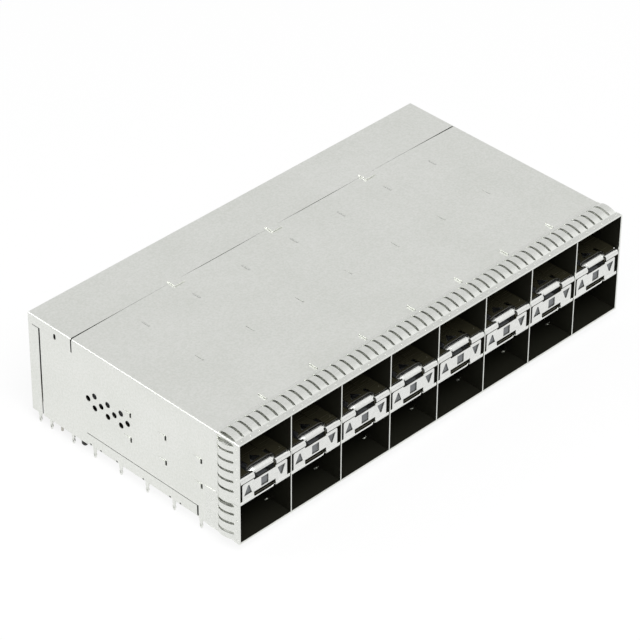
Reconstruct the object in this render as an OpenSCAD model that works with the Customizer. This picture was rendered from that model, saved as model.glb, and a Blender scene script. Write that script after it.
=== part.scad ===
// Stacked two-row, eight-column pluggable-module cage with right-angle connectors.
// X runs along the row of ports, Y from the port face to the back, Z up from the board.
// The origin is on the board plane, in the middle of the cage's footprint.

/* [Cage] */
// Centre distance between neighbouring ports
port_pitch = 14.25; // [14.1:0.05:14.5]
// Number of port columns, each with an upper and a lower port
columns = 8; // [8]
// Distance from the port face to the back wall
cage_depth = 63; // [61:0.5:68]
// Height of the shell above the board
cage_height = 25; // [24.6:0.1:26]
// Thickness of the folded sheet
sheet = 0.3; // [0.25:0.01:0.32]
// Thickness of the dividers
divider_t = 0.25; // [0.2:0.01:0.3]
// Outside radius of the folds
fold_r = 0.5; // [0.4:0.05:0.8]
// Gap between folded pieces that slip past each other
slip = 0.05; // [0.03:0.01:0.08]
// Gap between sheet edges that butt
butt = 0.01; // [0.01:0.01:0.05]

/* [Ports] */
// Height of the upper port's floor
upper_floor = 16; // [15.8:0.1:16.2]
// Height of the lower port's ceiling
lower_ceiling = 9.35; // [9.2:0.05:9.5]
// Height of a module's card edge above its latch side
card_height = 4.3; // [4:0.1:4.6]

/* [Shell and rear cover] */
// Depth of the rear cover's top, behind the seam
cover_d = 13.6; // [12.4:0.1:14]
// Width of the seam at the sides of the cage
seam_gap = 0.34; // [0.1:0.02:0.4]
// Width of the seam between two interlock tabs
seam_mid = 0.14; // [0.06:0.02:0.3]
// Depth of the slit that the seam makes down each side
seam_slit = 3.4; // [3:0.1:4]
// Depth of the rear cover's side skirts
skirt_depth = 2.4; // [2:0.1:2.8]
// Depth of the rear cover's side flanges
flange_depth = 3.45; // [3:0.05:4]
// Width of the slot in front of each side flange
flange_gap = 0.45; // [0.2:0.05:0.6]
// Width of the interlock tabs on the seam
lock_w = 2.8; // [2.4:0.1:5]
// Reach of the interlock tabs over the front panel
lock_reach = 1.6; // [1.2:0.1:2.5]

/* [Vents and lances] */
// Diameter of the vent holes
vent_d = 1.4; // [1:0.1:1.6]
// Spacing of the vent holes along a row
vent_pitch = 4; // [3.6:0.1:4.4]
// Spacing of the rows of vent holes
vent_rise = 1.53; // [1.4:0.01:1.7]
// Distance from the port face to the middle of the vents
vent_y = 38.65; // [38:0.05:40]
// Distance from the port face to the first lance
lance_y = 10.6; // [10.4:0.1:12]
// Spacing of the lances along the cage
lance_pitch = 10.45; // [10:0.05:10.8]
// Height of a lance
lance_h = 1.2; // [1:0.1:1.3]
// Length of a lance
lance_l = 2.5; // [2:0.1:3]
// Angle of a lance to its wall
lance_a = 6; // [4:0.5:9]

/* [Spring fingers] */
// Thickness of the spring strip
strip_t = 0.12; // [0.1:0.01:0.15]
// Depth of the band in front of the fingers
band_d = 1.4; // [1.2:0.05:1.6]
// Length of the fingers from band to band
finger_l = 4.6; // [4.4:0.1:5]
// Height of the fingers' crest above the wall
finger_rise = 0.72; // [0.5:0.02:0.9]
// Distance from the port face to the crest
crest_y = 4.2; // [3.6:0.1:4.4]
// Fingers to each port column
fingers_per_port = 6; // [5:1:7]
// Width of the slots between fingers
finger_slot = 0.58; // [0.3:0.02:0.7]
// Depth of the band behind the upper fingers
rear_band = 0.8; // [0.5:0.1:1]
// Depth of the lower strip from the port face
lower_strip_d = 9.8; // [9:0.1:10]
// Height at which the upper and lower strips meet
strip_split = 9.75; // [9.6:0.05:10]
// Spacing of the fingers on the sides
side_pitch = 2.45; // [2.3:0.05:2.45]
// Gap between the top row's end fingers and the shell's fold
end_trim = 0.1; // [0.05:0.05:0.3]
// Gap between the side rows' end fingers and the shell's fold
side_trim = 0.45; // [0.2:0.05:0.6]
// Height of the notch between the upper and lower side fingers
split_notch = 0.9; // [0.6:0.05:1.2]

/* [Dividers and base pan] */
// Length of the tabs that hold the dividers in the top
tab_l = 2.2; // [1.8:0.1:2.6]
// How far the front tabs stand above the top
tab_proud = 0.4; // [0.2:0.05:0.5]
// Depth of the connectors' bay behind the base pan
connector_bay = 17.6; // [17.2:0.1:18.2]
// Distance from the port face to the base pan's side flanges
pan_flange_y = 12.35; // [12.2:0.05:13]
// Height of the base pan's side flanges
pan_flange_h = 2.95; // [2.6:0.05:3.2]

/* [Board pins] */
// Length of the pins below the board plane
pin_l = 2.4; // [2.2:0.1:3]
// Width of a pin at its root
pin_w = 0.8; // [0.7:0.05:0.9]
// Spacing of the pins along the walls
pin_pitch = 8; // [7.9:0.05:8.05]

/* [Latches] */
// Width of a latch tongue
tongue_w = 4.95; // [4.6:0.05:5.2]
// Length of a latch tongue
tongue_l = 9; // [8:0.5:11]
// Rise of a tongue's front end into its port
tongue_rise = 0.5; // [0.3:0.05:0.7]
// Radius of the curl at a tongue's front end
curl_r = 1.75; // [1.4:0.05:1.9]
// Width of the ear on each side of a tongue
ear_w = 1.25; // [0.8:0.05:1.4]
// Width of the notch in the separator's face for a tongue
notch_w = 6; // [5.8:0.1:6.4]
// Side of the triangular hole that takes a module's latch
latch_hole_w = 3.3; // [2.8:0.1:3.5]

/* [Connectors] */
// Room between the housings of neighbouring columns
housing_room = 0.95; // [0.8:0.05:1.4]
// Gap between the base pan and a housing
housing_gap = 0.4; // [0.2:0.05:0.8]
// Reach of the card-slot noses in front of a housing
nose_l = 4.2; // [3.5:0.1:5]
// Diameter of the plastic locating pegs
peg_d = 1.5; // [1.3:0.1:1.6]
// Spacing of the contacts
contact_pitch = 0.8; // [0.8]

/* [Hidden] */
$fn = 48;
eps = 0.02;

// Finishes, as they look on the object
tin = [0.84, 0.85, 0.83];
spring_steel = [0.9, 0.9, 0.88];
bright_tin = [0.88, 0.89, 0.9];
black_lcp = [0.07, 0.07, 0.07];
gold = [0.83, 0.68, 0.35];
clear_pc = [0.6, 0.62, 0.6];

// The shell's walls stand on the outer port lines, half a sheet further out
cage_w = columns * port_pitch + 1.4 * sheet;
inner_w = cage_w - 2 * sheet;
pan_w = inner_w - 2 * slip;
ceiling = cage_height - sheet;
port_clear = port_pitch - divider_t;

// Width of a separator in its column
separator_w = port_clear - 4 * slip;

// Rear ends of the front panel and of the base pan, and the housings behind the pan
seam_y = cage_depth - cover_d;
pan_d = cage_depth - connector_bay;
housing_y = pan_d + housing_gap;
housing_w = port_pitch - housing_room;

// Side walls end here, and the rear cover's skirts sit on top of their rear stretch
skirt_z = cage_height - skirt_depth;
wall_end = cage_depth - flange_depth - flange_gap;
relief_w = 0.35;

function column_x(i) = (i - (columns + 1) / 2) * port_pitch;
function divider_x(i) = (i - columns / 2) * port_pitch;
function wall_x(side) = side * (cage_w - sheet) / 2;

// Divider tabs in the top, by distance of their middle from the port face
top_tabs = [8.1, 26.4, seam_y - 6.9];
top_tab_rise = [tab_proud, 0.08, 0.02];

// Pins, by distance from the port face
front_pin_y = 11.3;
pan_pins = [for (i = [3:-1:0]) pan_d - 2.1 - i * pin_pitch];
rear_pins = [pan_d + 4.6, cage_depth - 6.1];
cover_pin_y = cage_depth - 2.6;
divider_pins = [for (i = [3:-1:0]) pan_d - 4.1 - i * pin_pitch];

// Moves a piece from the port face, where it is drawn, to the origin in mid-footprint
module place() {
    translate([0, -cage_depth / 2, 0]) children();
}

// Extrudes a flat outline, drawn as X and Z, along Y from y0 to y1
module along_y(y0, y1) {
    translate([0, y1, 0]) rotate([90, 0, 0]) linear_extrude(y1 - y0) children();
}

// Extrudes a flat outline, drawn as Y and Z, along X, centred on x
module along_x(x, w) {
    translate([x - w / 2, 0, 0]) rotate([90, 0, 90]) linear_extrude(w) children();
}

// A block between two corners
module span(a, b) {
    translate(a) cube(b - a);
}

// A rectangle on the X axis whose two upper corners are round
module arch_outline(w, h, r) {
    translate([-w / 2, 0]) square([w, h - r]);
    translate([-w / 2 + r, 0]) square([w - 2 * r, h]);
    for (side = [-1, 1]) translate([side * (w / 2 - r), h - r]) circle(r);
}

// Points of an arc of radius r about c, in n steps
function arc(c, r, a0, a1, n) = [for (i = [0:n]) let (a = a0 + (a1 - a0) * i / n)
    [c[0] + r * cos(a), c[1] + r * sin(a)]];

// ---- pins, vents and lances shared by several pieces ----

// Compliant pin cut from a wall: shoulders, a needle's eye and a pointed tip, drawn as Y and Z
module pin_outline(root) {
    eye_w = pin_w * 0.3;
    difference() {
        polygon([
            [-pin_w / 2, root], [-pin_w / 2, -0.25 * pin_l], [-0.3 * pin_w, -0.4 * pin_l],
            [-0.55 * pin_w, -0.62 * pin_l], [-0.3 * pin_w, -0.86 * pin_l], [-0.12 * pin_w, -pin_l],
            [0.12 * pin_w, -pin_l], [0.3 * pin_w, -0.86 * pin_l], [0.55 * pin_w, -0.62 * pin_l],
            [0.3 * pin_w, -0.4 * pin_l], [pin_w / 2, -0.25 * pin_l], [pin_w / 2, root]
        ]);
        translate([-eye_w / 2, -0.78 * pin_l]) square([eye_w, 0.3 * pin_l]);
    }
}

module pin(x, y, t = sheet, root = eps) {
    along_x(x, t) translate([y, 0]) pin_outline(root);
}

// Relief holes in the fold beside a pin
module pin_reliefs(x, y, offsets) {
    for (o = offsets) span([x - sheet, y + o - 0.22, 0.12], [x + sheet, y + o + 0.22, 0.7]);
}

// Ten vent holes in three staggered rows, level with the space between the ports
module vent_holes(x) {
    mid = (upper_floor + lower_ceiling) / 2 - 0.25;
    for (row = [-1:1], i = [0:(row == 0 ? 3 : 2)]) {
        y = vent_y + (i - (row == 0 ? 1.5 : 1)) * vent_pitch;
        translate([x, y, mid + row * vent_rise]) rotate([0, 90, 0]) cylinder(h = 4 * sheet, d = vent_d, center = true);
    }
}

// Lances stand just under the two plates of a separator
lance_tops = [upper_floor - sheet - slip, lower_ceiling - slip];

module lance_window(x, y, top) {
    span([x - sheet, y, top - lance_h], [x + sheet, y + lance_l, top]);
}

// The lanced tongue: its rear end stays on the wall, and its front end is pressed to one side
module lance_tongue(x, y, top, side, t) {
    clear = 0.3;
    translate([x, y + lance_l, top - lance_h + eps]) rotate([0, 0, side * lance_a])
        translate([-t / 2, clear - lance_l, 0]) cube([t, lance_l, lance_h - 2 * eps]);
}

// ---- outer shell ----

module wall_holes(x) {
    vent_holes(x);
    for (i = [0:2], top = lance_tops) lance_window(x, lance_y + i * lance_pitch, top);
}

// Cut-out in a side wall that the base pan's flange fills
module pan_recess(x) {
    span([x - sheet, pan_flange_y - flange_gap, -1], [x + sheet, pan_d + butt, pan_flange_h + 0.16]);
}

module divider_slots(x) {
    for (y = top_tabs) {
        span([x - divider_t / 2 - slip, y - tab_l / 2 - slip, ceiling - 1],
             [x + divider_t / 2 + slip, y + tab_l / 2 + slip, cage_height + 1]);
    }
}

// The seam is widest at the sides, wide between the interlock tabs, and tight at the tabs
lock_tabs = [2, 4, 6];
lock_shift = 0.3;

module behind_seam() {
    y = seam_y + seam_gap / 2;
    half = cage_w / 2;
    tight = y - butt - slip / 2;
    reach = lock_w / 2 + 1.5;
    bulge = port_pitch / 3;
    edge = concat(
        [[-half - 1, y - seam_gap], [-half, y - seam_gap], [divider_x(1), y - seam_mid / 2]],
        [for (i = lock_tabs, at = [-reach, reach, port_pitch - bulge, port_pitch + bulge])
            if (i < max(lock_tabs) || at < port_pitch / 2)
                [divider_x(i) + at, abs(at) > reach ? y - seam_mid : tight]],
        [[divider_x(columns - 1), y - seam_mid / 2], [half, y - seam_gap], [half + 1, y - seam_gap]]
    );
    translate([0, 0, skirt_z - butt]) linear_extrude(skirt_depth + 1)
        polygon(concat(edge, [[half + 1, cage_depth], [-half - 1, cage_depth]]));
}

// Upright slotted hole through the skirt and the wall below it
module probe_hole(x) {
    w = 0.7;
    reach = 0.35;
    y = cage_depth - 8.55;
    z = skirt_z + 0.3;
    for (dz = [-reach, reach]) translate([x, y, z + dz]) rotate([0, 90, 0])
        cylinder(h = 2 * sheet, d = w, center = true);
    span([x - sheet, y - w / 2, z - reach], [x + sheet, y + w / 2, z + reach]);
}

module outer_shell() color(tin) place() {
    difference() {
        along_y(0, wall_end) difference() {
            arch_outline(cage_w, cage_height, fold_r);
            translate([0, -eps]) arch_outline(inner_w, ceiling + eps, fold_r - sheet);
        }
        // behind the seam the top belongs to the rear cover
        behind_seam();
        for (side = [-1, 1]) {
            x = wall_x(side);
            span([x - sheet, seam_y - relief_w / 2, cage_height - seam_slit],
                 [x + sheet, seam_y + relief_w / 2, cage_height]);
            wall_holes(x);
            pan_recess(x);
            probe_hole(x);
        }
        for (i = [1:columns - 1]) divider_slots(divider_x(i));
    }
    for (side = [-1, 1]) {
        x = wall_x(side);
        for (i = [0:2], top = lance_tops) lance_tongue(x, lance_y + i * lance_pitch, top, side, sheet);
        pin(x, front_pin_y);
        for (y = rear_pins) pin(x, y);
    }
}

// ---- rear cover ----

// A block with rounded top side edges and a rounded top rear edge and rear corners
module cover_block(w, h, y1, r) {
    intersection() {
        along_y(seam_y, y1) arch_outline(w, h, r);
        along_x(0, w) {
            translate([0, -1]) square([y1, h + 1 - r]);
            square([y1 - r, h]);
            translate([y1 - r, h - r]) circle(r);
        }
        translate([0, 0, -1]) linear_extrude(h + 2) {
            translate([-w / 2, 0]) square([w, y1 - r]);
            translate([-w / 2 + r, 0]) square([w - 2 * r, y1]);
            for (side = [-1, 1]) translate([side * (w / 2 - r), y1 - r]) circle(r);
        }
    }
}

// Interlock tab: stepped up by one sheet so that it lies on the front panel
module lock_tab(x) {
    step = sheet + slip;
    y0 = seam_y - lock_reach;
    along_x(x, lock_w) polygon([
        [y0, cage_height + slip], [seam_y + 0.25, cage_height + slip], [seam_y + 0.25, ceiling],
        [seam_y + 1, ceiling], [seam_y + 1, cage_height], [seam_y + 0.6, cage_height + step],
        [y0, cage_height + step]
    ]);
}

module rear_cover() color(tin) place() {
    back_pins = [for (i = [1:columns - 1]) divider_x(i) + port_pitch / 2];
    inner_back = cage_depth - sheet;
    difference() {
        cover_block(cage_w, cage_height, cage_depth, fold_r);
        translate([0, 0, -eps]) cover_block(inner_w, ceiling + eps, inner_back, fold_r - sheet);
        span([-cage_w, 0, -1], [cage_w, seam_y + seam_gap / 2, cage_height + 1]);
        for (side = [-1, 1]) {
            x = wall_x(side);
            // room for the side wall, and the line between skirt and flange
            span([x - sheet, 0, -1], [x + sheet, cage_depth - flange_depth, skirt_z]);
            span([x - sheet, 0, skirt_z - 0.16], [x + sheet, cage_depth - 1.5, skirt_z]);
            probe_hole(x);
            span([x - sheet, 0, skirt_z - 1], [x + sheet, seam_y + relief_w / 2, cage_height + 1]);
            // relief where the top, side and back folds meet
            span([x - sheet, cage_depth - 0.4, cage_height - 1.3], [x + sheet, cage_depth + 1, cage_height - 0.6]);
        }
        for (x = back_pins, o = [-0.8, 0.8]) {
            span([x + o - 0.2, inner_back - 0.1, -eps], [x + o + 0.2, cage_depth + 0.1, 0.35]);
        }
    }
    for (i = lock_tabs) lock_tab(divider_x(i) + lock_shift);
    for (side = [-1, 1]) pin(wall_x(side), cover_pin_y);
    for (x = back_pins) translate([x, cage_depth - sheet / 2, 0]) rotate([0, 0, 90]) pin(0, 0);
}

// ---- base pan ----

// Ear lanced up beside a divider's foot
ear_y = 6.3;
ear_l = 0.6;
ear_h = 1.1;

module base_pan() color(tin) place() {
    difference() {
        union() {
            span([-pan_w / 2, 0, 0], [pan_w / 2, pan_d, sheet]);
            // flanges in the plane of the side walls, folded up from the pan
            along_y(pan_flange_y, pan_d) difference() {
                translate([0, pan_flange_h]) rotate(180) arch_outline(cage_w, pan_flange_h, fold_r);
                translate([0, pan_flange_h + eps]) rotate(180)
                    arch_outline(inner_w, pan_flange_h + eps - sheet, fold_r - sheet);
            }
        }
        for (i = [1:columns - 1]) {
            x = divider_x(i);
            for (y = divider_pins) {
                span([x - divider_t / 2 - slip, y - pin_w / 2 - slip, -1],
                     [x + divider_t / 2 + slip, y + pin_w / 2 + slip, 1]);
            }
            span([x - sheet / 2 - slip - 1.15, ear_y - ear_l / 2, -1],
                 [x - sheet * 1.5 - slip, ear_y + ear_l / 2, 1]);
        }
        for (side = [-1, 1], i = [0:3]) {
            pin_reliefs(wall_x(side), pan_pins[i], i == 0 || i == 3 ? [-2, 1.1] : [1.1]);
        }
    }
    for (side = [-1, 1], y = pan_pins) pin(wall_x(side), y, root = 2 * fold_r);
    for (i = [1:columns - 1]) {
        x = divider_x(i) - sheet - slip;
        span([x - sheet / 2, ear_y - ear_l / 2, sheet - eps], [x + sheet / 2 - eps, ear_y + ear_l / 2, sheet + ear_h]);
    }
}

// ---- spring-finger gaskets ----

dimple_d = 0.45;
finger_end = band_d + finger_l;
gasket_w = cage_w + 2 * strip_t;
flat_end = cage_w / 2 - fold_r;
finger_pitch = port_pitch / fingers_per_port;
finger_count = columns * fingers_per_port;
row_slots = [for (i = [1:finger_count - 1]) (i - finger_count / 2) * finger_pitch];

// Radius of a bow that climbs finger_rise over a given reach
function bow_r(reach) = (pow(reach, 2) + pow(finger_rise, 2)) / (2 * finger_rise);

// Half of a finger's bow, from the front root to the crest or from the crest to the rear root
function bow(reach, dir, out, n) = let (r = bow_r(reach), a = asin(reach / r))
    arc([crest_y, finger_rise - r], r + out, dir > 0 ? 90 + a : 90, dir > 0 ? 90 : 90 - a, n);

// Section of a strip, drawn as Y and height: a flat band, the fingers' bow and a band behind
module strip_section(depth) {
    front = crest_y - band_d;
    rear = finger_end - crest_y;
    outer = concat(bow(front, 1, strip_t, 7), bow(rear, -1, strip_t, 6));
    inner = concat(bow(front, 1, 0, 7), bow(rear, -1, 0, 6));
    polygon(concat([[0, 0], [0, strip_t]], outer, [[depth, strip_t], [depth, 0]], [
        for (i = [len(inner) - 1:-1:0]) if (i != 7) inner[i]
    ]));
}

// Opening across the fingers' stretch, from a to b along the row
module finger_cut(a, b) {
    span([a, band_d, -1], [b, finger_end, 3]);
}

// A strip lying flat from x0 to x1, with slots that part its fingers and trimmed end fingers.
// Its front band has a dimple in line with each finger.
module finger_row(x0, x1, depth, slots, trim0, trim1) {
    step = slots[1] - slots[0];
    difference() {
        along_x((x0 + x1) / 2, x1 - x0) strip_section(depth);
        for (s = concat([slots[0] - step], slots)) {
            middle = s + step / 2;
            if (middle > x0 + dimple_d && middle < x1 - dimple_d)
                translate([middle, band_d * 0.4, strip_t * 0.3]) cylinder(h = 1, d = dimple_d, $fn = 16);
        }
        for (s = slots) finger_cut(s - finger_slot / 2, s + finger_slot / 2);
        finger_cut(x0 - 1, x0 + trim0);
        finger_cut(x1 - trim1, x1 + 1);
    }
}

// Lays a flat row against a side wall: its X becomes Z
module on_side(side) {
    translate([side * cage_w / 2, 0, 0]) mirror([side > 0 ? 1 : 0, 0, 0]) rotate([0, -90, 0]) children();
}

// Bands folded round the shell's corners, with the bend's centres at height z and x either side
module band_corners(y0, y1, x, z, r, dir) {
    for (side = [-1, 1]) translate([side * x, 0, z]) along_y(y0, y1) intersection() {
        difference() {
            circle(r + strip_t);
            if (r > 0) circle(r);
            else scale([side, dir]) translate([-1, -1]) square(1);
        }
        scale([side, dir]) translate([-eps, -eps]) square(1);
    }
}

module upper_gasket() color(spring_steel) place() {
    depth = finger_end + rear_band;
    side_slots = [for (i = [0:4]) cage_height - 2.35 - i * side_pitch];
    bend_z = cage_height - fold_r;
    difference() {
        union() {
            translate([0, 0, cage_height])
                finger_row(-flat_end, flat_end, depth, row_slots, end_trim, end_trim);
            for (side = [-1, 1]) on_side(side)
                finger_row(strip_split, bend_z, depth, side_slots, 0, side_trim);
            band_corners(0, band_d, flat_end, bend_z, fold_r, 1);
            band_corners(finger_end, depth, flat_end, bend_z, fold_r, 1);
        }
        for (i = [1:columns - 1]) divider_slots(divider_x(i));
    }
}

module lower_gasket() color(spring_steel) place() {
    side_slots = [for (i = [0:2]) 2.2 + i * (side_pitch - 0.05)];
    row_end = cage_w / 2;
    trim = fold_r + end_trim;
    mirror([0, 0, 1]) finger_row(-row_end, row_end, lower_strip_d, row_slots, trim, trim);
    for (side = [-1, 1]) on_side(side)
        finger_row(0, strip_split - slip, lower_strip_d, side_slots, fold_r, split_notch);
    band_corners(0, band_d, row_end, 0, 0, -1);
    band_corners(finger_end, lower_strip_d, row_end, 0, 0, -1);
}

// ---- dividers ----

module divider(i) color(tin) place() {
    x = divider_x(i);
    half = divider_t / 2;
    top = ceiling - slip;
    back = cage_depth - sheet - 2 * slip;
    // lances lean left and right by turns, to carry the separators on both sides
    lean = [1, -1, 1];
    difference() {
        union() {
            span([x - half, 0, sheet + slip], [x + half, back, top]);
            span([x - half, pan_d + slip, 0], [x + half, back, 1]);
        }
        wall_holes(x);
    }
    for (k = [0:2]) {
        span([x - half, top_tabs[k] - tab_l / 2, top - eps],
             [x + half, top_tabs[k] + tab_l / 2, cage_height + top_tab_rise[k]]);
        for (z = lance_tops) lance_tongue(x, lance_y + k * lance_pitch, z, lean[k], divider_t);
    }
    for (y = divider_pins) {
        span([x - half, y - pin_w / 2, 0], [x + half, y + pin_w / 2, 1]);
        pin(x, y, divider_t);
    }
    for (y = rear_pins) pin(x, y, divider_t);
}

// ---- separators ----

face_y = 0.57;
lip_drop = 1.15;
lip_r = 0.8;
lip_shade = 0.5;
foot_rise = 0.85;
face_top = upper_floor - lip_drop - lip_shade;
face_inset = 0.7;
face_corner = 0.45;
separator_back = housing_y - nose_l - 0.3;
window_z = (upper_floor + lower_ceiling) / 2 - 0.27;
window_dx = separator_w / 2 - 2.25;
window_h = 2.2;
window_w = 2.2;

// Folded section: floor plate with a rolled lip, set-back face, flared foot, ceiling plate
module separator_section() {
    top = upper_floor;
    bottom = lower_ceiling;
    front = face_y - sheet;
    lip_c = [lip_r, top - lip_r];
    lip_inside = arc(lip_c, lip_r - sheet, 180, 112, 5);
    web_y = lip_inside[5][0];
    outer = concat(
        [[separator_back, top]],
        arc(lip_c, lip_r, 90, 180, 8),
        [[0, top - lip_drop], [sheet, top - lip_drop]],
        lip_inside,
        [[web_y, face_top], [front, face_top]],
        [[front, bottom + foot_rise], [front - 0.14, bottom + foot_rise - 0.12]],
        arc([front + 0.16, bottom + 0.3], 0.3, 180, 270, 4),
        [[separator_back, bottom]]
    );
    inner = [
        [separator_back, bottom + sheet], [face_y, bottom + sheet], [face_y, face_top - sheet],
        [web_y + sheet, face_top - sheet], [web_y + sheet, top - sheet], [separator_back, top - sheet]
    ];
    polygon(concat(outer, inner));
}

// Latch tongue: a spring leaf that rises into its port and curls over at the front.
// The lower port's tongue is bent a little further and curls a little less.
tongue_t = 0.24;
upper_bend = [tongue_rise, 66];
lower_bend = [tongue_rise + 0.4, 50];

module tongue_section(bend) {
    root = tongue_l + 0.5;
    c = [curl_r + 0.16, upper_floor + bend[0] - curl_r];
    outer = arc(c, curl_r, 86, 90 + bend[1], 10);
    inner = arc(c, curl_r - tongue_t, 90 + bend[1], 86, 8);
    polygon(concat(
        [[root, upper_floor], [tongue_l, upper_floor]], outer, inner,
        [[tongue_l, upper_floor - tongue_t], [root, upper_floor - tongue_t]]
    ));
}

// Ear along each edge of a tongue, bent down, for the module's release slide
module tongue_ear(side, bend) {
    tilt = 14;
    translate([side * tongue_w / 2, 0, upper_floor]) rotate([0, side * tilt, 0]) translate([0, 0, -upper_floor - 0.05])
        intersection() {
            along_x(0, 2 * ear_w) tongue_section(bend);
            linear_extrude(2 * upper_floor) polygon([
                [-side * 0.25, 0.6], [0, 0.5], [side * ear_w, 1.35], [side * ear_w, 1.75], [0, 2.6], [-side * 0.25, 2.6]
            ]);
        }
}

module latch_tongue(bend) {
    hole_h = latch_hole_w * 0.68;
    hole_y = 2.6;
    difference() {
        union() {
            along_x(0, tongue_w) tongue_section(bend);
            for (side = [-1, 1]) tongue_ear(side, bend);
        }
        translate([0, 0, upper_floor - 1]) linear_extrude(3)
            polygon([[-latch_hole_w / 2, hole_y], [latch_hole_w / 2, hole_y], [0, hole_y + hole_h]]);
    }
}

// Opening in a plate and in the face's edge, in which the tongue moves
module tongue_gap(deep) {
    gap_w = tongue_w + 2 * ear_w + 0.3;
    span([-notch_w / 2, -1, upper_floor - deep], [notch_w / 2, 1, upper_floor + 1]);
    span([-gap_w / 2, lip_r + 0.3, upper_floor - sheet - eps], [gap_w / 2, 4.2, upper_floor + 1]);
    span([-tongue_w / 2 - 0.35, 4.1, upper_floor - sheet - eps], [tongue_w / 2 + 0.35, tongue_l, upper_floor + 1]);
}

module flip_to_lower() {
    translate([0, 0, upper_floor + lower_ceiling]) mirror([0, 0, 1]) children();
}

module separator_windows() {
    half = window_w / 2;
    along_y(-1, 1) {
        translate([0, window_z - window_h / 2]) {
            translate([-half + 0.1, 0]) square([window_w - 0.2, window_h]);
            translate([-window_dx, 0]) polygon([[-half, 0], [half, 0], [0.35, window_h], [0, window_h]]);
            translate([window_dx, 0]) polygon([[-0.2, 0], [0.2, 0], [half, window_h], [-half, window_h]]);
        }
    }
}

// Cuts one side of the face back to its own rounded width, drawn as X and Z
module face_side_cut(w) {
    z0 = lower_ceiling + foot_rise;
    edge = w / 2 - face_inset;
    along_y(-1, face_y + 0.02) difference() {
        translate([edge - face_corner, z0]) square([face_inset + face_corner + 1, face_top - z0]);
        translate([edge - face_corner, face_top - face_corner]) circle(face_corner);
        translate([edge - 2 * face_corner, z0 - 1]) square([2 * face_corner, face_top - z0 + 1 - face_corner]);
    }
}

module separator(i) color(bright_tin) place() translate([column_x(i), 0, 0]) {
    w = separator_w;
    difference() {
        along_x(0, w) separator_section();
        tongue_gap(upper_floor - face_top + sheet + 0.05);
        flip_to_lower() tongue_gap(1.65);
        separator_windows();
        for (side = [0, 1]) mirror([side, 0, 0]) face_side_cut(w);
    }
    latch_tongue(upper_bend);
    flip_to_lower() latch_tongue(lower_bend);
    // small detent bead on the floor plate, nearer the wall in the last column
    translate(i < columns ? [w / 2 - 0.8, 2.4, upper_floor] : [w / 2 - 0.25, 1.1, upper_floor]) sphere(0.2, $fn = 24);
}

// ---- light pipes ----

pipe_w = 2.6;
pipe_h = 2.7;
pipe_back = housing_y;
carrier_y = 12;
carrier_d = 1.5;
carrier_back = 4;

// Three clear pipes behind a separator's windows, on one carrier that rests on the ceiling plate
module light_pipes(i) color(clear_pc) place() translate([column_x(i), 0, 0]) {
    low = lower_ceiling + sheet;
    for (k = [-1:1]) {
        span([k * window_dx - pipe_w / 2, face_y, window_z - pipe_h / 2],
             [k * window_dx + pipe_w / 2, pipe_back, window_z + pipe_h / 2]);
    }
    for (y = [carrier_y, pipe_back - carrier_back]) {
        span([-window_dx, y, low], [window_dx, y + carrier_d, window_z + pipe_h / 2 - 0.3]);
    }
}

// ---- connectors ----

housing_back = cage_depth - 10;
housing_top = ceiling - 2.1;
nose_w = housing_w - 1.7;
nose_h = 4.6;
slot_w = nose_w - 2.2;
slot_h = 1.5;
card_levels = [upper_floor + card_height, lower_ceiling - card_height];
contact_count = 10;
contact_t = 0.24;
wafer_t = 0.5;
board_gap = 0.4;
peg_y = pan_d + 2.7;
peg_x = housing_w / 2 - 0.95;
rib_w = 1.7;

// Rows of contact tails behind the housings, and the ground leads beside them
tail_rows = [for (back = [3, 4.6, 6.8, 8.6]) cage_depth - back];
lead_x = housing_w / 2 - 0.45;
lead_y = cage_depth - 8.5;
lead_w = 0.4;

function contact_x(k) = (k - (contact_count - 1) / 2) * contact_pitch;

module housing(i) color(black_lcp) place() translate([column_x(i), 0, 0]) {
    difference() {
        union() {
            along_x(0, housing_w) polygon([
                [housing_y, board_gap], [housing_back, board_gap], [housing_back, housing_top],
                [housing_y + 1.2, housing_top], [housing_y, housing_top - 1.2]
            ]);
            for (z = card_levels) along_y(housing_y - nose_l, housing_y + 1) translate([0, z])
                polygon([
                    [-nose_w / 2, -nose_h / 2 + 0.5], [-nose_w / 2 + 0.5, -nose_h / 2], [nose_w / 2 - 0.5, -nose_h / 2],
                    [nose_w / 2, -nose_h / 2 + 0.5], [nose_w / 2, nose_h / 2 - 0.5], [nose_w / 2 - 0.5, nose_h / 2],
                    [-nose_w / 2 + 0.5, nose_h / 2], [-nose_w / 2, nose_h / 2 - 0.5]
                ]);
            // stand-off ribs that sit on the board
            for (side = [-1, 1]) {
                span([side * peg_x - rib_w / 2, housing_y + 0.6, 0],
                     [side * peg_x + rib_w / 2, housing_back - 1, board_gap + 1]);
                translate([side * peg_x, peg_y, -pin_l + 0.4]) cylinder(h = pin_l + 1, d = peg_d);
                translate([side * peg_x, peg_y, -pin_l]) cylinder(h = 0.4, d1 = peg_d - 0.5, d2 = peg_d);
            }
        }
        for (z = card_levels) {
            // card slot with a flared mouth, and the channels of the contacts
            along_x(0, slot_w) polygon([
                [housing_y - nose_l - 1, z - slot_h / 2 - 1.5], [housing_y - nose_l + 0.5, z - slot_h / 2],
                [housing_y + 2.5, z - slot_h / 2], [housing_y + 2.5, z + slot_h / 2],
                [housing_y - nose_l + 0.5, z + slot_h / 2], [housing_y - nose_l - 1, z + slot_h / 2 + 1.5]
            ]);
            for (k = [0:contact_count - 1]) {
                x = contact_x(k);
                span([x - contact_t / 2 - slip, housing_y - nose_l + 0.6, z - 1.5],
                     [x + contact_t / 2 + slip, housing_back + 1, z + 1.5]);
            }
        }
    }
}

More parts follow.
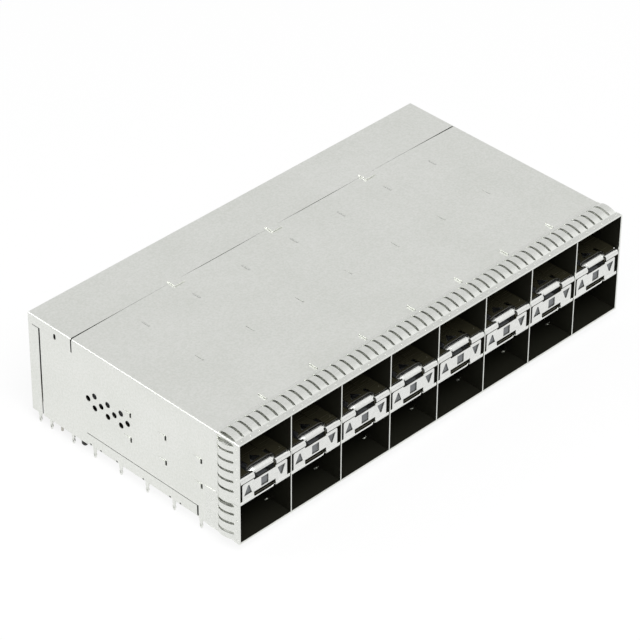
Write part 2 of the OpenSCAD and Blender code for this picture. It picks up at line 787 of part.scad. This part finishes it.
// Wafers: plates behind the housing that carry the contacts on one face
module wafers(i) color(black_lcp) place() translate([column_x(i), 0, 0]) {
    back = cage_depth - sheet - 0.7;
    for (k = [0:contact_count - 1]) {
        x = contact_x(k) + contact_t / 2;
        span([x, housing_back + slip, board_gap], [x + wafer_t, back, housing_top]);
    }
}

// One contact: a sprung beam in the card slot, a run down behind the housing and a tail
module contact_section(z, dir, run_y) {
    w = 0.4;
    beam = z + dir * 1.1;
    tip = housing_y - nose_l + 0.9;
    bend = -dir * 0.45;
    tail = -pin_l + 0.2;
    polygon([
        [tip, beam - w / 2 + bend], [tip + 1.3, beam - w / 2], [run_y, beam - w / 2], [run_y, tail],
        [run_y + w, tail], [run_y + w, beam + w / 2], [tip + 1.3, beam + w / 2], [tip, beam + w / 2 + bend]
    ]);
}

// Ground lead on the back of a housing, beside the wafers
module ground_lead(x) {
    y = housing_back + slip;
    low = board_gap + 1;
    tail = -pin_l + 0.2;
    along_x(x, lead_w) polygon([
        [y, low], [lead_y, low], [lead_y, tail], [lead_y + lead_w, tail], [lead_y + lead_w, low + lead_w],
        [y + sheet, low + lead_w], [y + sheet, low + 4], [y, low + 4]
    ]);
}

module contacts(i) color(gold) place() translate([column_x(i), 0, 0]) {
    for (side = [-1, 1]) ground_lead(side * lead_x);
    for (k = [0:contact_count - 1]) {
        x = contact_x(k);
        along_x(x, contact_t) {
            for (r = [0:3]) contact_section(card_levels[floor(r / 2)], r % 2 == 0 ? 1 : -1, tail_rows[r]);
        }
    }
}

outer_shell();
rear_cover();
base_pan();
upper_gasket();
lower_gasket();
for (i = [1:7]) divider(i);
for (i = [1:8]) separator(i);
for (i = [1:8]) light_pipes(i);
for (i = [1:8]) housing(i);
for (i = [1:8]) wafers(i);
for (i = [1:8]) contacts(i);
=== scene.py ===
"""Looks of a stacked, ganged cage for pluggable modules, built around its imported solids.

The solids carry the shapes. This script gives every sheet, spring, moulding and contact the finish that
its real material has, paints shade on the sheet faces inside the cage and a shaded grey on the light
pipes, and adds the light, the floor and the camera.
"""

from __future__ import annotations

import logging
import math
from dataclasses import dataclass
from enum import Enum
from typing import Any

import bpy
from mathutils import Matrix, Vector

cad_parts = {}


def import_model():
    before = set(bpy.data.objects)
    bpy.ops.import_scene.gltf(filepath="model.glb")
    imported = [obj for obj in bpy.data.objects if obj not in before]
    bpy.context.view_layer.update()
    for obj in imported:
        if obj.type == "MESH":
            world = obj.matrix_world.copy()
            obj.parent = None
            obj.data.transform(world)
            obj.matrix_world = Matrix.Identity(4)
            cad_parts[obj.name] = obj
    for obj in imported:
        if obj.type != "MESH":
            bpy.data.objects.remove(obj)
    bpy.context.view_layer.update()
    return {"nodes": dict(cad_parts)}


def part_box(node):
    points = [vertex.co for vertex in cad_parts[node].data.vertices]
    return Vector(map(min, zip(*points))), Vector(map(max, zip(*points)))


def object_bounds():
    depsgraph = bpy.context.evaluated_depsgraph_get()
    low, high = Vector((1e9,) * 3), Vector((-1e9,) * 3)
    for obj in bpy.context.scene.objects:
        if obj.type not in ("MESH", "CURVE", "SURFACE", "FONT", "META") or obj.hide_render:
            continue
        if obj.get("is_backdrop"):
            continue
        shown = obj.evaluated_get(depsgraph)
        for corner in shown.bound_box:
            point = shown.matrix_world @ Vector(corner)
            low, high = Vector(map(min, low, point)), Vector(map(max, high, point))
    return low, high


LOG = logging.getLogger("cage")
MM = 0.001
# Metres from the origin, past every face of the cage
FAR = 1.0

Tree = bpy.types.NodeTree
Socket = bpy.types.NodeSocket
Solids = dict[str, bpy.types.Object]


class Family(Enum):
    """Solids that repeat from column to column, by the start of their names."""

    DIVIDER = "divider_"
    SEPARATOR = "separator_"
    LIGHT_PIPES = "light_pipes_"
    HOUSING = "housing_"
    WAFERS = "wafers_"
    CONTACTS = "contacts_"

    def members(self, nodes: Solids) -> list[bpy.types.Object]:
        """Pick this family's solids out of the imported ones."""
        return [node for name, node in nodes.items() if name.startswith(self.value)]


# ---- small tools ----


def srgb(hex_code: str) -> tuple[float, float, float, float]:
    """Turn an sRGB hex value into the linear colour that shaders take.

    Args:
        hex_code: Six hex digits, such as "d4d6d1".

    Returns:
        Linear red, green and blue, and an alpha of 1.
    """
    channels = []
    for start in (0, 2, 4):
        value = int(hex_code[start : start + 2], 16) / 255
        # The standard's straight foot, and its power curve above that
        channels.append(value / 12.92 if value <= 0.04045 else ((value + 0.055) / 1.055) ** 2.4)
    return (channels[0], channels[1], channels[2], 1.0)


def add_node(
    tree: Tree,
    kind: str,
    settings: dict[str, Any] | None = None,
    inputs: dict[Any, Any] | None = None,
) -> bpy.types.Node:
    """Add one node to a tree.

    Args:
        tree: The node tree that gets the node.
        kind: Blender's name of the node type.
        settings: Attributes of the node to set.
        inputs: Input sockets by name or index. An output socket is linked, and any other value is set.

    Returns:
        The new node.
    """
    node = tree.nodes.new(kind)
    for key, value in (settings or {}).items():
        setattr(node, key, value)
    for key, value in (inputs or {}).items():
        if isinstance(value, Socket):
            tree.links.new(value, node.inputs[key])
        else:
            node.inputs[key].default_value = value
    return node


def new_material(name: str) -> tuple[bpy.types.Material, Tree]:
    """Make an empty node material.

    Args:
        name: The material's name.

    Returns:
        The material and its node tree, with no nodes in it.
    """
    material = bpy.data.materials.new(name)
    material.use_nodes = True
    material.node_tree.nodes.clear()
    return material, material.node_tree


def dress(solids: list[bpy.types.Object], material: bpy.types.Material) -> None:
    """Give solids one material, in every slot that they have.

    Args:
        solids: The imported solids.
        material: The finish that they take.
    """
    for solid in solids:
        if not solid.data.materials:
            solid.data.materials.append(material)
        for index in range(len(solid.data.materials)):
            solid.data.materials[index] = material
        LOG.info("%s: %s", solid.name, material.name)


# ---- finishes ----


@dataclass(frozen=True)
class Cavity:
    """A box inside the cage, whose faces no light reaches but what comes through the ports; its faces get
    painted shade.
    """

    lo: Vector
    hi: Vector
    fade_mm: float = 0.0

    def mask(self, tree: Tree) -> Socket:
        """Build a mask that is 1 on faces inside the box, and rises over the fade behind its front.

        Args:
            tree: The node tree that gets the mask's nodes.

        Returns:
            The mask's output socket.
        """
        place = add_node(tree, "ShaderNodeTexCoord").outputs["Object"]
        parts = add_node(tree, "ShaderNodeSeparateXYZ", inputs={"Vector": place}).outputs
        factors = []
        for axis, low, high in zip("XYZ", self.lo, self.hi):
            for test, limit in (("GREATER_THAN", low), ("LESS_THAN", high)):
                passed = add_node(tree, "ShaderNodeMath", {"operation": test}, {0: parts[axis], 1: limit})
                factors.append(passed.outputs[0])
        if self.fade_mm > 0:
            depth = add_node(
                tree,
                "ShaderNodeMapRange",
                {"interpolation_type": "SMOOTHSTEP"},
                {"Value": parts["Y"], "From Min": self.lo.y, "From Max": self.lo.y + self.fade_mm * MM},
            )
            factors.append(depth.outputs["Result"])
        mask = factors[0]
        for factor in factors[1:]:
            both = {0: mask, 1: factor}
            mask = add_node(tree, "ShaderNodeMath", {"operation": "MULTIPLY"}, both).outputs[0]
        return mask


@dataclass(frozen=True)
class PlatedSheet:
    """Cold-rolled sheet, stamped and then tin plated.

    The plating gives a pale, slightly warm grey with a soft, broad sheen. Its crystals are too fine to
    show, so their speckle is drawn about half a millimetre coarse. Rolling leaves faint lines along the
    strip, and the plating bath leaves a slight, cloudy change of tone. Faces inside the cage's boxes get
    painted shade: a dark and only partly metallic tone that stands in for the shade there, since they
    mirror little but one another.
    """

    name: str
    tone: str
    cloud_tone: str
    roughness: float
    # Painted shade: the tone and the metallic share of faces inside the cage's boxes
    painted_shade_tone: str = "23231c"
    painted_shade_metal: float = 0.35
    cloud_mm: float = 14.0
    cloud_detail: float = 3.0
    speck_mm: float = 0.45
    speck_detail: float = 2.0
    speck_depth: float = 1.1
    grain_mm: float = 0.25
    grain_length_mm: float = 9.0
    grain_detail: float = 2.0
    grain_low: float = 0.3
    grain_high: float = 0.7
    grain_polish: float = 0.04
    grain_haze: float = 0.05
    grain_relief: float = 0.02
    grain_relief_mm: float = 0.05

    def plating(self, tree: Tree, place: Socket) -> Socket:
        """Draw the plating's tone, with its clouds and its crystals' speckle.

        Args:
            tree: The material's node tree.
            place: Output socket of each point's place on the part.

        Returns:
            The tone's output socket.
        """
        clouds = add_node(
            tree,
            "ShaderNodeTexNoise",
            inputs={"Vector": place, "Scale": 1 / (self.cloud_mm * MM), "Detail": self.cloud_detail},
        )
        specks = add_node(
            tree,
            "ShaderNodeTexNoise",
            inputs={"Vector": place, "Scale": 1 / (self.speck_mm * MM), "Detail": self.speck_detail},
        )
        speckle = add_node(
            tree,
            "ShaderNodeMapRange",
            inputs={
                "Value": specks.outputs["Fac"],
                "To Min": -self.speck_depth,
                "To Max": self.speck_depth,
            },
        )
        blotches = add_node(
            tree,
            "ShaderNodeMath",
            {"operation": "ADD"},
            {0: clouds.outputs["Fac"], 1: speckle.outputs["Result"]},
        )
        tone = add_node(
            tree,
            "ShaderNodeMix",
            {"data_type": "RGBA"},
            {"Factor": blotches.outputs[0], "A": srgb(self.tone), "B": srgb(self.cloud_tone)},
        )
        return tone.outputs["Result"]

    def rolling(self, tree: Tree, place: Socket) -> Socket:
        """Draw the fine lines that rolling leaves along the strip.

        Args:
            tree: The material's node tree.
            place: Output socket of each point's place on the part.

        Returns:
            The lines' output socket.
        """
        along = 1 / (self.grain_length_mm * MM)
        across = 1 / (self.grain_mm * MM)
        stretch = (along, across, across)
        drawn = add_node(tree, "ShaderNodeMapping", inputs={"Vector": place, "Scale": stretch})
        grain = add_node(
            tree,
            "ShaderNodeTexNoise",
            inputs={"Vector": drawn.outputs["Vector"], "Scale": 1.0, "Detail": self.grain_detail},
        )
        return grain.outputs["Fac"]

    def build(self, cavities: list[Cavity]) -> bpy.types.Material:
        """Make the material.

        Args:
            cavities: Boxes inside the cage, in which this sheet's faces get painted shade: a dark, less
                metallic tone.

        Returns:
            The finished material.
        """
        material, tree = new_material(self.name)
        place = add_node(tree, "ShaderNodeTexCoord").outputs["Object"]
        tone = self.plating(tree, place)
        metal: float | Socket = 1.0
        # Painted shade: faces inside the boxes take the dark tone and less metal
        if cavities:
            inside = cavities[0].mask(tree)
            for cavity in cavities[1:]:
                either = {0: inside, 1: cavity.mask(tree)}
                inside = add_node(tree, "ShaderNodeMath", {"operation": "MAXIMUM"}, either).outputs[0]
            tone = add_node(
                tree,
                "ShaderNodeMix",
                {"data_type": "RGBA"},
                {"Factor": inside, "A": tone, "B": srgb(self.painted_shade_tone)},
            ).outputs["Result"]
            metal = add_node(
                tree,
                "ShaderNodeMapRange",
                inputs={"Value": inside, "To Min": 1.0, "To Max": self.painted_shade_metal},
            ).outputs["Result"]
        grain = self.rolling(tree, place)
        rough = add_node(
            tree,
            "ShaderNodeMapRange",
            inputs={
                "Value": grain,
                "From Min": self.grain_low,
                "From Max": self.grain_high,
                "To Min": self.roughness - self.grain_polish,
                "To Max": self.roughness + self.grain_haze,
            },
        )
        bump = add_node(
            tree,
            "ShaderNodeBump",
            inputs={"Height": grain, "Strength": self.grain_relief, "Distance": self.grain_relief_mm * MM},
        )
        shader = add_node(
            tree,
            "ShaderNodeBsdfPrincipled",
            inputs={
                "Base Color": tone,
                "Metallic": metal,
                "Roughness": rough.outputs["Result"],
                "Normal": bump.outputs["Normal"],
            },
        )
        add_node(tree, "ShaderNodeOutputMaterial", inputs={"Surface": shader.outputs["BSDF"]})
        return material


@dataclass(frozen=True)
class MouldedPolymer:
    """Glass-filled liquid crystal polymer, injection moulded: near black, with a fine flow texture."""

    name: str
    tone: str = "131312"
    roughness: float = 0.55
    roughness_swing: float = 0.08
    flow_mm: float = 1.2
    flow_detail: float = 4.0
    flow_swirl: float = 1.5
    flow_relief: float = 0.15
    flow_relief_mm: float = 0.03

    def build(self) -> bpy.types.Material:
        """Make the material.

        Returns:
            The finished material.
        """
        material, tree = new_material(self.name)
        place = add_node(tree, "ShaderNodeTexCoord").outputs["Object"]
        flow = add_node(
            tree,
            "ShaderNodeTexNoise",
            inputs={
                "Vector": place,
                "Scale": 1 / (self.flow_mm * MM),
                "Detail": self.flow_detail,
                "Distortion": self.flow_swirl,
            },
        ).outputs["Fac"]
        bump = add_node(
            tree,
            "ShaderNodeBump",
            inputs={"Height": flow, "Strength": self.flow_relief, "Distance": self.flow_relief_mm * MM},
        )
        rough = add_node(
            tree,
            "ShaderNodeMapRange",
            inputs={
                "Value": flow,
                "To Min": self.roughness - self.roughness_swing,
                "To Max": self.roughness + self.roughness_swing,
            },
        )
        shader = add_node(
            tree,
            "ShaderNodeBsdfPrincipled",
            inputs={
                "Base Color": srgb(self.tone),
                "Roughness": rough.outputs["Result"],
                "Normal": bump.outputs["Normal"],
            },
        )
        add_node(tree, "ShaderNodeOutputMaterial", inputs={"Surface": shader.outputs["BSDF"]})
        return material


@dataclass(frozen=True)
class FrostedPipe:
    """Clear polycarbonate light pipe, moulded with a satin face. Its cool mid grey, with random darker haze,
    is painted shade that stands in for the clear pipe seen in the dark inside the separators.
    """

    name: str
    # Painted shade: both grey tones stand in for clear plastic seen in the dark
    tone: str = "74777a"
    painted_shade_haze_tone: str = "484a4b"
    haze_mm: float = 3.0
    haze_detail: float = 2.0
    roughness: float = 0.35
    refraction: float = 1.58
    clear_share: float = 0.1

    def build(self) -> bpy.types.Material:
        """Make the material.

        Returns:
            The finished material.
        """
        material, tree = new_material(self.name)
        place = add_node(tree, "ShaderNodeTexCoord").outputs["Object"]
        haze = add_node(
            tree,
            "ShaderNodeTexNoise",
            inputs={"Vector": place, "Scale": 1 / (self.haze_mm * MM), "Detail": self.haze_detail},
        )
        tone = add_node(
            tree,
            "ShaderNodeMix",
            {"data_type": "RGBA"},
            {"Factor": haze.outputs["Fac"], "A": srgb(self.tone), "B": srgb(self.painted_shade_haze_tone)},
        )
        shader = add_node(
            tree,
            "ShaderNodeBsdfPrincipled",
            inputs={
                "Base Color": tone.outputs["Result"],
                "Roughness": self.roughness,
                "IOR": self.refraction,
                "Transmission Weight": self.clear_share,
            },
        )
        add_node(tree, "ShaderNodeOutputMaterial", inputs={"Surface": shader.outputs["BSDF"]})
        return material


@dataclass(frozen=True)
class GoldFlash:
    """Thin gold over nickel on stamped contacts: a warm yellow sheen, and paler tin on the tails."""

    name: str
    tone: str = "d7b15c"
    tail_tone: str = "b9b7ae"
    roughness: float = 0.28
    plating_end_z_mm: float = 1.0

    def build(self) -> bpy.types.Material:
        """Make the material.

        Returns:
            The finished material.
        """
        material, tree = new_material(self.name)
        place = add_node(tree, "ShaderNodeTexCoord").outputs["Object"]
        height = add_node(tree, "ShaderNodeSeparateXYZ", inputs={"Vector": place}).outputs["Z"]
        plated = add_node(
            tree,
            "ShaderNodeMapRange",
            inputs={"Value": height, "From Min": 0.0, "From Max": self.plating_end_z_mm * MM},
        )
        tone = add_node(
            tree,
            "ShaderNodeMix",
            {"data_type": "RGBA"},
            {"Factor": plated.outputs["Result"], "A": srgb(self.tail_tone), "B": srgb(self.tone)},
        )
        shader = add_node(
            tree,
            "ShaderNodeBsdfPrincipled",
            inputs={"Base Color": tone.outputs["Result"], "Metallic": 1.0, "Roughness": self.roughness},
        )
        add_node(tree, "ShaderNodeOutputMaterial", inputs={"Surface": shader.outputs["BSDF"]})
        return material


# ---- sub-assemblies ----


@dataclass
class Cage:
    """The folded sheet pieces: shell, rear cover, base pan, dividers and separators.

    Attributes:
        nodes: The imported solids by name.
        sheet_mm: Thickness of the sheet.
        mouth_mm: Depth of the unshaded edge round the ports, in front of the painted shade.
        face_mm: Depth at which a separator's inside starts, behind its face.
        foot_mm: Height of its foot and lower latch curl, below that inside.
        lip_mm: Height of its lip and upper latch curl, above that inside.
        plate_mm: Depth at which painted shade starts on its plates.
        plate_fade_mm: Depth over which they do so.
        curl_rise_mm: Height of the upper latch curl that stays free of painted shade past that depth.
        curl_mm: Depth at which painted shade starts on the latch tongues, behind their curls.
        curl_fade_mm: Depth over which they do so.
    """

    nodes: Solids
    sheet_mm: float = 0.3
    mouth_mm: float = 0.1
    face_mm: float = 0.45
    foot_mm: float = 1.5
    lip_mm: float = 1.3
    plate_mm: float = 0.8
    plate_fade_mm: float = 0.15
    curl_rise_mm: float = 0.46
    curl_mm: float = 1.75
    curl_fade_mm: float = 0.35

    def cavity(self) -> Cavity:
        """Work out the cage's inside from the shell and the cover, half a sheet in from their outer faces.

        Returns:
            The box that holds the cage's inner faces, which get painted shade.
        """
        shell_lo, shell_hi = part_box("outer_shell")
        cover_lo, cover_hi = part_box("rear_cover")
        half = self.sheet_mm / 2 * MM
        side = cover_hi.x - half
        return Cavity(
            lo=Vector((-side, shell_lo.y + self.mouth_mm * MM, half)),
            hi=Vector((side, cover_hi.y - half, shell_hi.z - half)),
        )

    def separator_cavities(self) -> list[Cavity]:
        """Work out where the separators get painted shade.

        Returns:
            The space between a separator's plates, the plates, and the tongues behind the latch curls.
        """
        lo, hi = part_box("separator_1")
        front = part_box("outer_shell")[0].y
        between = Cavity(
            lo=Vector((-FAR, front + self.face_mm * MM, lo.z + self.foot_mm * MM)),
            hi=Vector((FAR, FAR, hi.z - self.lip_mm * MM)),
        )
        plates = Cavity(
            lo=Vector((-FAR, front + self.plate_mm * MM, -FAR)),
            hi=Vector((FAR, FAR, hi.z - self.curl_rise_mm * MM)),
            fade_mm=self.plate_fade_mm,
        )
        tongues = Cavity(
            lo=Vector((-FAR, front + self.curl_mm * MM, -FAR)),
            hi=Vector((FAR, FAR, FAR)),
            fade_mm=self.curl_fade_mm,
        )
        return [between, plates, tongues]

    def dress(self) -> None:
        """Plate every sheet piece: matte, and brighter on the separators; faces inside the cage get painted
        shade.
        """
        sheet = PlatedSheet("matte_tin_plated_sheet", tone="eaebe7", cloud_tone="dee0da", roughness=0.36)
        bright = PlatedSheet(
            "bright_tin_plated_sheet",
            tone="e6e7e4",
            cloud_tone="dcddda",
            roughness=0.24,
            # Painted shade inside the separators is a dark olive; on the walls and dividers it is near black
            painted_shade_tone="3c3a2c",
        )
        walls = [self.nodes[name] for name in ("outer_shell", "rear_cover", "base_pan")]
        dress(walls + Family.DIVIDER.members(self.nodes), sheet.build([self.cavity()]))
        dress(Family.SEPARATOR.members(self.nodes), bright.build(self.separator_cavities()))


@dataclass
class Gaskets:
    """The two spring-finger strips round the port face."""

    nodes: Solids

    def dress(self) -> None:
        """Plate both strips."""
        strip = PlatedSheet(
            "satin_plated_spring_strip",
            tone="e8e9e5",
            cloud_tone="dbddd8",
            roughness=0.28,
            grain_length_mm=4.0,
        )
        dress([self.nodes["upper_gasket"], self.nodes["lower_gasket"]], strip.build([]))


@dataclass
class Connectors:
    """Light pipes between the ports, and housings, wafers and contacts behind them."""

    nodes: Solids

    def dress(self) -> None:
        """Give the mouldings and contacts their finishes."""
        polymer = MouldedPolymer("moulded_black_lcp").build()
        gold = GoldFlash("gold_flashed_contact").build()
        pipe = FrostedPipe("frosted_polycarbonate").build()
        dress(Family.HOUSING.members(self.nodes) + Family.WAFERS.members(self.nodes), polymer)
        dress(Family.CONTACTS.members(self.nodes), gold)
        dress(Family.LIGHT_PIPES.members(self.nodes), pipe)


# ---- studio ----


@dataclass(frozen=True)
class SoftBox:
    """One square lamp panel that faces the object."""

    name: str
    place_mm: tuple[float, float, float]
    size_mm: float
    watts: float

    def hang(self) -> None:
        """Hang the lamp in the scene."""
        data = bpy.data.lights.new(self.name, "AREA")
        data.size = self.size_mm * MM
        data.energy = self.watts
        lamp = bpy.data.objects.new(self.name, data)
        lamp.location = Vector(self.place_mm) * MM
        lamp.rotation_mode = "QUATERNION"
        lamp.rotation_quaternion = (-lamp.location).to_track_quat("-Z", "Y")
        bpy.context.scene.collection.objects.link(lamp)


@dataclass
class Studio:
    """Floor, world, lamps and camera.

    Attributes:
        floor_drop_mm: Gap between the floor and the pins.
        floor_size_mm: Side of the floor.
        card_tone: Colour of the floor's card.
        floor_glow: Share of the floor that is plain white for the camera and for mirroring faces.
        white_tone: Colour of that share and of the room.
        room_light: Strength of the white that lights the object.
        room_mirrored: Strength of the white that its metal mirrors.
        lamps: The soft boxes.
        lens_mm: Focal length of the lens.
        sensor_mm: Width of the camera's sensor.
        near_mm: Nearest distance that the camera sees.
        far_mm: Furthest distance that it sees.
        eye_mm: The camera's place.
        heading_deg: Angle of the view from Y towards X.
        drop_deg: Angle of the view below level.
        roll_deg: Turn of the camera about its view.
    """

    floor_drop_mm: float = 0.05
    floor_size_mm: float = 3000.0
    card_tone: str = "f4f4f4"
    floor_glow: float = 0.85
    white_tone: str = "ffffff"
    room_light: float = 0.5
    room_mirrored: float = 0.8
    lamps: tuple[SoftBox, ...] = (
        SoftBox("key_soft_box", place_mm=(-300, -500, 900), size_mm=700, watts=9.0),
        SoftBox("fill_soft_box", place_mm=(700, -400, 540), size_mm=900, watts=0.7),
        SoftBox("fold_soft_box", place_mm=(-700, 674, 681), size_mm=300, watts=1.3),
    )
    lens_mm: float = 186.05
    sensor_mm: float = 36.0
    near_mm: float = 10.0
    far_mm: float = 10000.0
    eye_mm: tuple[float, float, float] = (-406.17, -398.69, 425.98)
    heading_deg: float = 45.3144
    drop_deg: float = 36.1773
    roll_deg: float = 0.4487

    def floor(self) -> None:
        """Lay a plain pale floor under the pins."""
        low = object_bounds()[0].z - self.floor_drop_mm * MM
        half = self.floor_size_mm / 2 * MM
        mesh = bpy.data.meshes.new("floor")
        corners = [(-half, -half, low), (half, -half, low), (half, half, low), (-half, half, low)]
        mesh.from_pydata(corners, [], [(0, 1, 2, 3)])
        floor = bpy.data.objects.new("floor", mesh)
        bpy.context.scene.collection.objects.link(floor)
        material, tree = new_material("white_card_floor")
        rays = add_node(tree, "ShaderNodeLightPath").outputs
        seen = add_node(
            tree,
            "ShaderNodeMath",
            {"operation": "MAXIMUM"},
            {0: rays["Is Camera Ray"], 1: rays["Is Glossy Ray"]},
        )
        share = add_node(
            tree,
            "ShaderNodeMath",
            {"operation": "MULTIPLY"},
            {0: seen.outputs[0], 1: self.floor_glow},
        )
        card = add_node(tree, "ShaderNodeBsdfDiffuse", inputs={"Color": srgb(self.card_tone)})
        glow = add_node(tree, "ShaderNodeEmission", inputs={"Color": srgb(self.white_tone), "Strength": 1.0})
        mixed = add_node(
            tree,
            "ShaderNodeMixShader",
            inputs={0: share.outputs[0], 1: card.outputs["BSDF"], 2: glow.outputs["Emission"]},
        )
        add_node(tree, "ShaderNodeOutputMaterial", inputs={"Surface": mixed.outputs["Shader"]})
        mesh.materials.append(material)
        floor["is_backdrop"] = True

    def world(self) -> None:
        """Surround the object with white: full for the camera, weaker where it lights or is mirrored."""
        world = bpy.data.worlds.new("studio")
        bpy.context.scene.world = world
        world.use_nodes = True
        tree = world.node_tree
        tree.nodes.clear()
        rays = add_node(tree, "ShaderNodeLightPath").outputs
        shown = add_node(
            tree,
            "ShaderNodeMath",
            {"operation": "MAXIMUM"},
            {0: rays["Is Camera Ray"], 1: rays["Is Transmission Ray"]},
        )
        mirrored = add_node(
            tree,
            "ShaderNodeMath",
            {"operation": "MULTIPLY_ADD"},
            {0: rays["Is Glossy Ray"], 1: self.room_mirrored - self.room_light, 2: self.room_light},
        )
        strength = add_node(
            tree,
            "ShaderNodeMath",
            {"operation": "MAXIMUM"},
            {0: shown.outputs[0], 1: mirrored.outputs[0]},
        )
        back = add_node(
            tree,
            "ShaderNodeBackground",
            inputs={"Color": srgb(self.white_tone), "Strength": strength.outputs[0]},
        )
        add_node(tree, "ShaderNodeOutputWorld", inputs={"Surface": back.outputs["Background"]})

    def camera(self) -> None:
        """Set the camera at its fixed place and angle."""
        data = bpy.data.cameras.new("camera")
        data.lens = self.lens_mm
        data.sensor_width = self.sensor_mm
        data.clip_start = self.near_mm * MM
        data.clip_end = self.far_mm * MM
        heading, drop, roll = (math.radians(a) for a in (self.heading_deg, self.drop_deg, self.roll_deg))
        forward = math.cos(drop)
        ahead = Vector((math.sin(heading) * forward, math.cos(heading) * forward, -math.sin(drop)))
        level = ahead.cross(Vector((0, 0, 1))).normalized()
        above = level.cross(ahead)
        right = level * math.cos(roll) + above * math.sin(roll)
        up = above * math.cos(roll) - level * math.sin(roll)
        turn = Matrix((right, up, -ahead)).transposed().to_4x4()
        camera = bpy.data.objects.new("camera", data)
        camera.matrix_world = Matrix.Translation(Vector(self.eye_mm) * MM) @ turn
        bpy.context.scene.collection.objects.link(camera)
        bpy.context.scene.camera = camera

    def build(self) -> None:
        """Set up floor, world, lamps, camera and view."""
        self.floor()
        self.world()
        for lamp in self.lamps:
            lamp.hang()
        self.camera()
        bpy.context.scene.view_settings.view_transform = "Standard"
        LOG.info("studio: floor, light and camera")


def main() -> None:
    """Build the classes in order."""
    logging.basicConfig(level=logging.INFO, format="%(name)s: %(message)s")
    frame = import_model()
    nodes = frame["nodes"]
    Cage(nodes).dress()
    Gaskets(nodes).dress()
    Connectors(nodes).dress()
    Studio().build()


if __name__ == "__main__":
    main()
